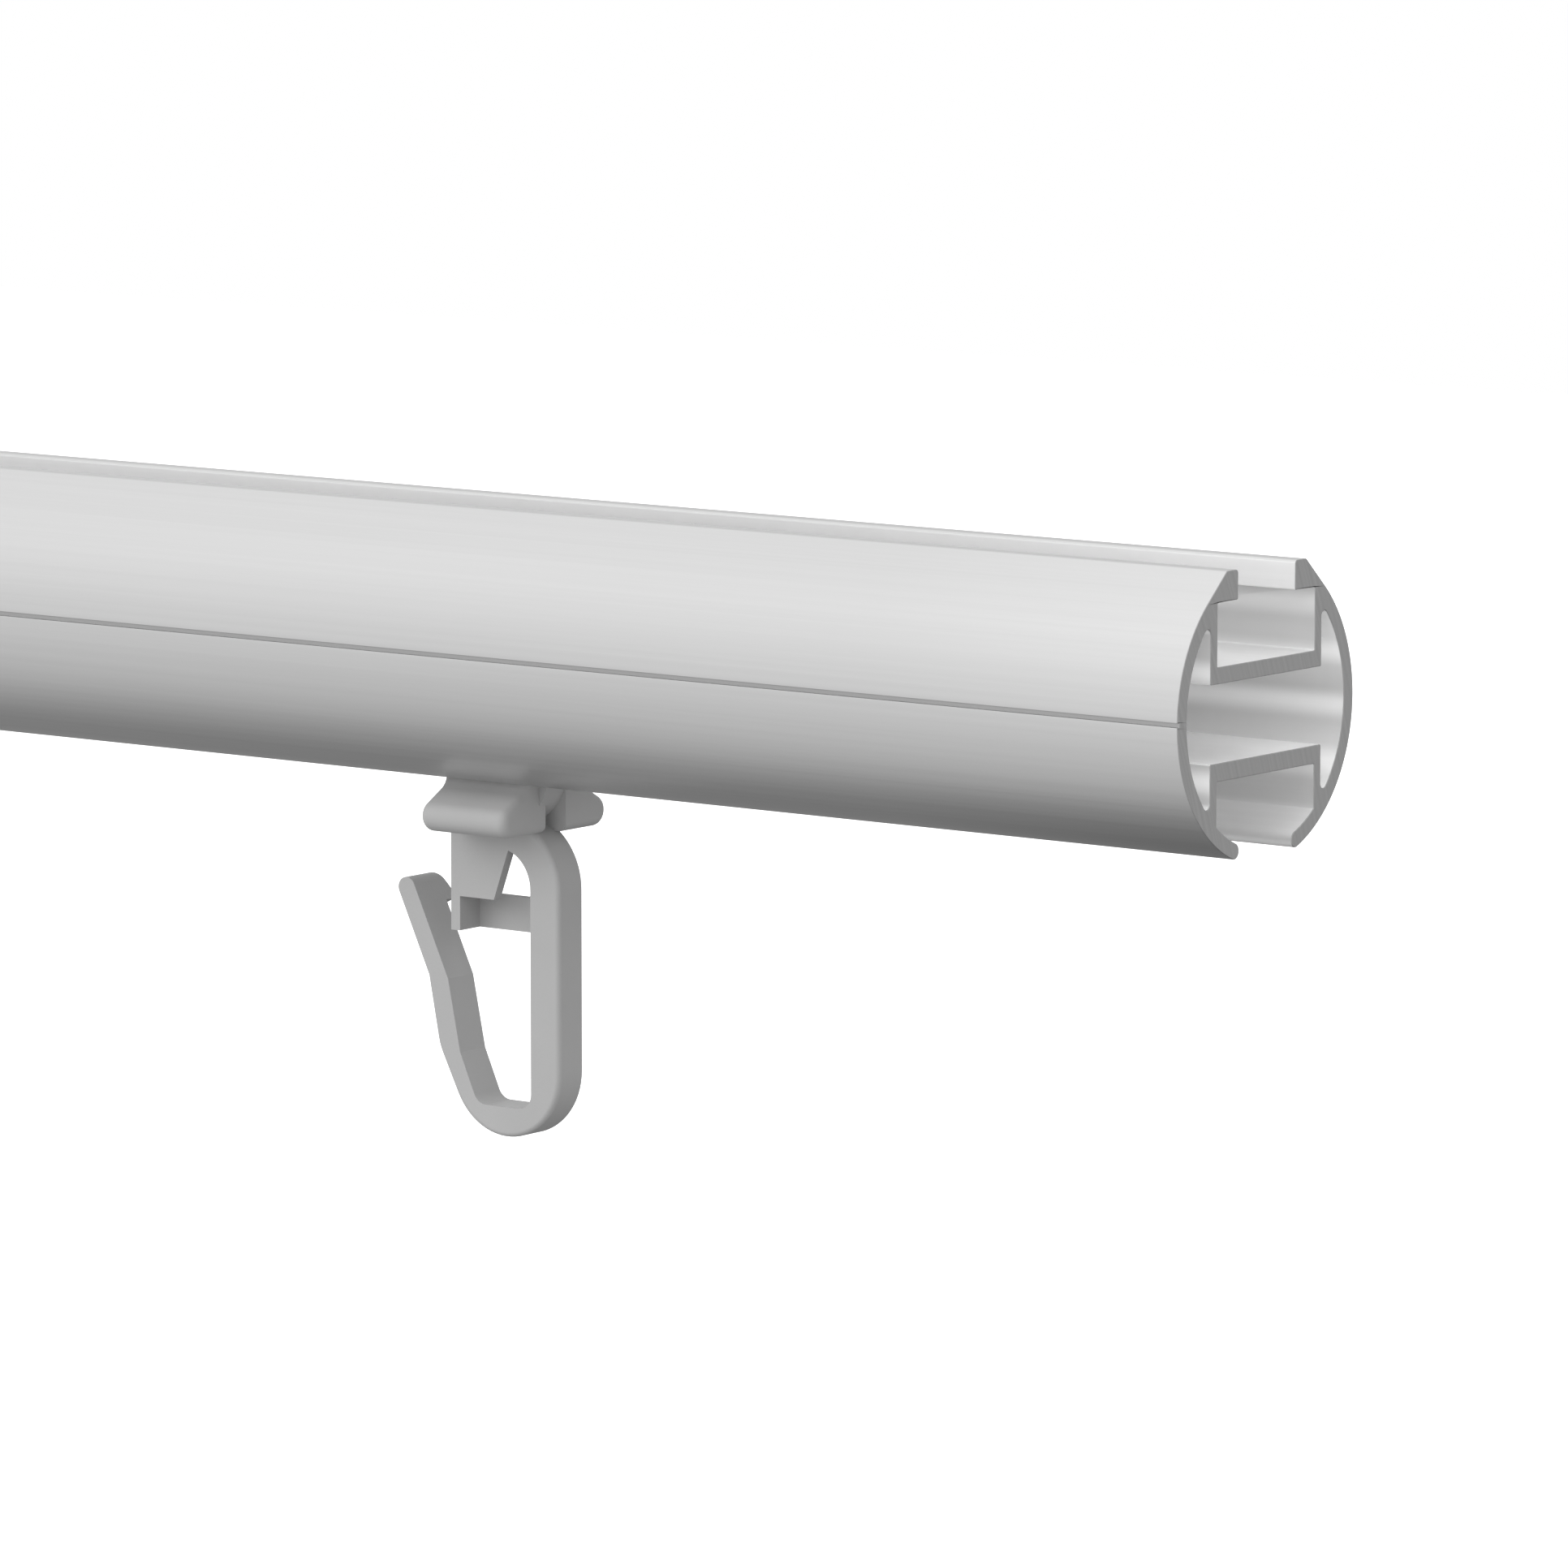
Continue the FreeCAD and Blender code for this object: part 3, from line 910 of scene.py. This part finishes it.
    def wall_finish(self, middles: np.ndarray, chamber: np.ndarray) -> np.ndarray:
        """Choose a finish for each long face by where it lies.

        The broken edges at the saw cuts are bare, the chamber is paler with painted light and
        the sight line is darker with painted shade. Other faces inside the bore or between the
        slots' walls are matte and paler with painted light, and the rest is the outer skin.

        Args:
            middles: the faces' middles in metres.
            chamber: whether each face belongs to the chamber.

        Returns:
            The number of each face's region.
        """
        x, y, z = (middles / MM + [0.0, 0.0, self.radius]).T
        inside = np.hypot(y, z) < self.bore + LEEWAY
        choices = {
            Region.BARE: np.abs(x) > self.length / 2 - self.edge_break,
            Region.CHAMBER: chamber,
            Region.SIGHT_LINE: (y < 0) & (np.abs(z) < self.line_half + LEEWAY) & ~inside,
            Region.CHANNEL: inside | (np.abs(y) < self.upper_slot_half + SLOT_LEEWAY),
        }
        numbers = [region.value for region in choices]
        return np.select(list(choices.values()), numbers, Region.SKIN.value)

    def build_mesh(self) -> bpy.types.Mesh:
        """Build the walls and both cut ends as one closed mesh, each face with its finish.

        Returns:
            The mesh.
        """
        outlines = [self.outer_outline(), self.inner_outline()]
        skin_points, skin_faces = self.sweep(outlines[0], 0)
        room_points, room_faces = self.sweep(outlines[1], len(skin_points))
        points = np.concatenate([skin_points, room_points]) * MM
        counts = [len(outline) for outline in outlines]
        starts = np.concatenate([np.arange(n) for n in counts])
        base = np.repeat([0, len(skin_points)], counts)
        last = np.repeat([len(skin_points) - counts[0], len(room_points) - counts[1]], counts)
        right = self.close_end(outlines, base + last + starts)
        left = self.close_end(outlines, base + starts)[:, ::-1]
        walls = np.concatenate([skin_faces, room_faces])
        mesh = bpy.data.meshes.new("rod_extrusion")
        mesh.from_pydata(points.tolist(), [], walls.tolist() + right.tolist() + left.tolist())
        finishes = {
            Region.SKIN: self.skin,
            Region.CHANNEL: self.inside,
            Region.SIGHT_LINE: self.groove,
            Region.CHAMBER: self.chamber,
            Region.BARE: self.cut,
        }
        for region in Region:
            mesh.materials.append(finishes[region].build())
        chamber = np.arange(len(walls)) >= len(skin_faces)
        ends = np.full(len(right) + len(left), Region.BARE.value)
        numbers = np.concatenate([self.wall_finish(points[walls].mean(axis=1), chamber), ends])
        mesh.polygons.foreach_set("material_index", numbers.astype(np.int32))
        mesh.polygons.foreach_set("use_smooth", np.arange(len(numbers)) < len(walls))
        mesh.update()
        mesh.validate()
        return mesh

    def build(self) -> bpy.types.Object:
        """Build the extrusion and put it in the CAD node's place.

        Returns:
            The finished object.
        """
        mesh = self.build_mesh()
        rod = bpy.data.objects.new("rod_extrusion", mesh)
        bpy.context.scene.collection.objects.link(rod)
        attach(rod, "rod")
        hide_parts("rod_profile")
        log.info("rod_extrusion: %d faces", len(mesh.polygons))
        return rod


# The glider


@dataclass
class HookGlider:
    """The moulding, whose solid is kept and given its finish."""

    node: str = "glider"
    finish: MouldedAcetal = field(default_factory=MouldedAcetal)

    def dress(self) -> bpy.types.Object:
        """Give the CAD node its moulded finish.

        Returns:
            The CAD node's object.
        """
        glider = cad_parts[self.node]
        glider.data.materials.clear()
        glider.data.materials.append(self.finish.build())
        log.info("%s: moulded finish", self.node)
        return glider


# Studio


@dataclass
class Camera:
    """A long lens that looks at the cut end from the front, the right and a little above.

    Its focal length is given in pixels of the square photograph, and the rest in degrees,
    metres and, for the sensor, millimetres.
    """

    azimuth: float = 37.07
    elevation: float = 7.82
    distance: float = 0.6369
    shift_right: float = 0.03101
    shift_up: float = 0.00477
    target: tuple[float, float, float] = (0.3, 0.0, -0.01)
    sensor: float = 36.0
    focal_pixels: float = 12203.0
    image_pixels: float = 1932.0
    clip: tuple[float, float] = (0.01, 50.0)

    def build(self) -> bpy.types.Object:
        """Make the camera and give it to the scene.

        Its back direction is at the azimuth and elevation from the object. It stands the
        distance away along it, moved left and down so that the target lies right of and
        above the middle of the frame.

        Returns:
            The camera.
        """
        turn = math.radians(self.azimuth)
        right = Vector((math.cos(turn), math.sin(turn), 0.0))
        back = way_to(self.azimuth, self.elevation)
        up = back.cross(right)
        data = bpy.data.cameras.new("camera")
        data.sensor_width = self.sensor
        data.lens = self.focal_pixels / self.image_pixels * self.sensor
        data.clip_start, data.clip_end = self.clip
        camera = bpy.data.objects.new("camera", data)
        axes = Matrix((right, up, back)).transposed().to_4x4()
        place = Vector(self.target) - right * self.shift_right - up * self.shift_up
        camera.matrix_world = Matrix.Translation(place + back * self.distance) @ axes
        bpy.context.scene.collection.objects.link(camera)
        bpy.context.scene.camera = camera
        return camera


def stand_lamp(data: bpy.types.Light, place: Vector, target: Vector) -> bpy.types.Object:
    """Stand a lamp at a place, turn it to a point and keep it out of reflections.

    Args:
        data: the lamp's own settings.
        place: where it stands.
        target: the point that it shines at.

    Returns:
        The lamp.
    """
    lamp = bpy.data.objects.new(data.name, data)
    lamp.location = place
    lamp.rotation_euler = (place - target).to_track_quat("Z", "Y").to_euler()
    lamp.visible_glossy = False
    bpy.context.scene.collection.objects.link(lamp)
    return lamp


@dataclass(frozen=True)
class SoftBox:
    """A large square lamp that looks at one point, and that metal doesn't mirror."""

    name: str
    place: tuple[float, float, float]
    size: float
    power: float
    target: tuple[float, float, float] = (0.25, 0.0, -0.02)

    def build(self) -> bpy.types.Object:
        """Make the lamp.

        Returns:
            The lamp.
        """
        data = bpy.data.lights.new(self.name, "AREA")
        data.size = self.size
        data.energy = self.power
        return stand_lamp(data, Vector(self.place), Vector(self.target))


@dataclass(frozen=True)
class NarrowLamp:
    """A spot with a narrow cone that shines into the open end from beside the camera.

    It lights one piece alone, so a glider that is slid out to the end doesn't glare in it.
    Its angles are degrees, the cone's across its whole width, and its lengths metres. The
    edge is the share of the cone that fades.
    """

    name: str
    azimuth: float
    elevation: float
    distance: float = 1.0
    cone: float = 1.7
    edge: float = 0.25
    radius: float = 0.006
    power: float = 78.0
    target: tuple[float, float, float] = (0.3, 0.0, -0.01)

    def build(self, lit: bpy.types.Object) -> bpy.types.Object:
        """Make the lamp.

        Args:
            lit: the piece that it lights.

        Returns:
            The lamp.
        """
        data = bpy.data.lights.new(self.name, "SPOT")
        data.spot_size = math.radians(self.cone)
        data.spot_blend = self.edge
        data.shadow_soft_size = self.radius
        data.energy = self.power
        target = Vector(self.target)
        place = target + way_to(self.azimuth, self.elevation) * self.distance
        lamp = stand_lamp(data, place, target)
        receivers = bpy.data.collections.new(f"{self.name}_receivers")
        receivers.objects.link(lit)
        lamp.light_linking.receiver_collection = receivers
        return lamp


@dataclass
class Studio:
    """A white cyclorama, soft light from above and the pale floor far below the held rod.

    Its sizes are metres.
    """

    floor_drop: float = -0.45
    floor_half: float = 4.0
    floor_colour: str = "#c8c8c8"
    light_from: tuple[float, float, float] = (0.02, -0.45, 0.88)
    # Share of the way from the dark side of the sky to the light one, and the level there
    levels: tuple[tuple[float, float], ...] = (
        (0.0, 0.12),
        (0.06, 0.17),
        (0.12, 0.28),
        (0.28, 0.6),
        (0.56, 0.79),
        (0.8, 0.98),
        (1.0, 1.25),
    )
    key_light: SoftBox = SoftBox("key_front", (-0.7, -1.2, 0.9), 1.2, 10.5)
    end_light: NarrowLamp = NarrowLamp("end_light", 70.0, 9.0)

    def build_world(self) -> None:
        """Light the scene with a sky that is white above and grey below.

        A direction's level goes by its cosine to the direction that the light comes from,
        along a ramp. To the camera every direction is plain white.
        """
        world = bpy.data.worlds.new("studio")
        world.use_nodes = True
        tree = world.node_tree
        tree.nodes.clear()
        ray = add_node(tree, "ShaderNodeLightPath")
        way = add_node(tree, "ShaderNodeTexCoord").outputs["Generated"]
        cosine = add_node(
            tree,
            "ShaderNodeVectorMath",
            {1: Vector(self.light_from).normalized()},
            {0: way},
            operation="DOT_PRODUCT",
        )
        share = add_node(
            tree,
            "ShaderNodeMapRange",
            {"From Min": -1.0, "From Max": 1.0},
            {"Value": cosine.outputs["Value"]},
        )
        level = add_node(tree, "ShaderNodeValToRGB", None, {0: share.outputs[0]})
        stops = level.color_ramp.elements
        for place, _ in self.levels[1:-1]:
            stops.new(place)
        for stop, (place, grey) in zip(stops, self.levels):
            stop.position = place
            stop.color = (grey, grey, grey, 1.0)
        strength = add_node(
            tree,
            "ShaderNodeMix",
            {MIX_NUMBER_TO: 1.0},
            {MIX_SHARE: ray.outputs["Is Camera Ray"], MIX_NUMBER_FROM: level.outputs[0]},
        )
        light = add_node(
            tree,
            "ShaderNodeBackground",
            {"Color": (1.0, 1.0, 1.0, 1.0)},
            {"Strength": strength.outputs[0]},
        )
        add_node(tree, "ShaderNodeOutputWorld", None, {"Surface": light.outputs[0]})
        bpy.context.scene.world = world

    def build_floor(self) -> bpy.types.Object:
        """Lay the pale floor, white to the camera apart from its shadow.

        Reflected and scattered light passes it by and takes the world's own grey instead.
        From below it is clear, so the rod's underside can be looked at.

        Returns:
            The floor.
        """
        material, tree = start_material("pale_floor")
        ray = add_node(tree, "ShaderNodeLightPath")
        pale = add_node(tree, "ShaderNodeBsdfDiffuse", {"Color": linear(self.floor_colour)})
        glow = add_node(
            tree,
            "ShaderNodeEmission",
            {"Color": (1.0, 1.0, 1.0, 1.0)},
            {"Strength": ray.outputs["Is Camera Ray"]},
        )
        both = add_node(
            tree, "ShaderNodeAddShader", None, {0: pale.outputs[0], 1: glow.outputs[0]}
        )
        clear = add_node(tree, "ShaderNodeBsdfTransparent")
        side = add_node(tree, "ShaderNodeNewGeometry")
        shown = add_node(
            tree,
            "ShaderNodeMixShader",
            None,
            {0: side.outputs["Backfacing"], 1: both.outputs[0], 2: clear.outputs[0]},
        )
        add_node(tree, "ShaderNodeOutputMaterial", None, {"Surface": shown.outputs[0]})
        half = self.floor_half
        mesh = bpy.data.meshes.new("floor")
        corners = [(-half, -half), (half, -half), (half, half), (-half, half)]
        mesh.from_pydata([(x, y, self.floor_drop) for x, y in corners], [], [(0, 1, 2, 3)])
        mesh.materials.append(material)
        floor = bpy.data.objects.new("floor", mesh)
        floor.visible_glossy = False
        floor.visible_diffuse = False
        bpy.context.scene.collection.objects.link(floor)
        return floor

    def build(self, rod: bpy.types.Object) -> None:
        """Set up the world, the floor, the lamps and the way that colours are shown.

        Args:
            rod: the extrusion, whose open end has its own lamp.
        """
        bpy.context.scene.view_settings.view_transform = "Standard"
        self.build_world()
        self.build_floor()
        self.key_light.build()
        self.end_light.build(rod)
        log.info("studio: floor, world and 2 lamps")


def main() -> None:
    """Build the rod, the glider, the studio and the camera, in that order."""
    logging.basicConfig(level=logging.INFO, format="%(name)s: %(message)s")
    rod = RodProfile().build()
    HookGlider().dress()
    Studio().build(rod)
    Camera().build()


if __name__ == "__main__":
    main()
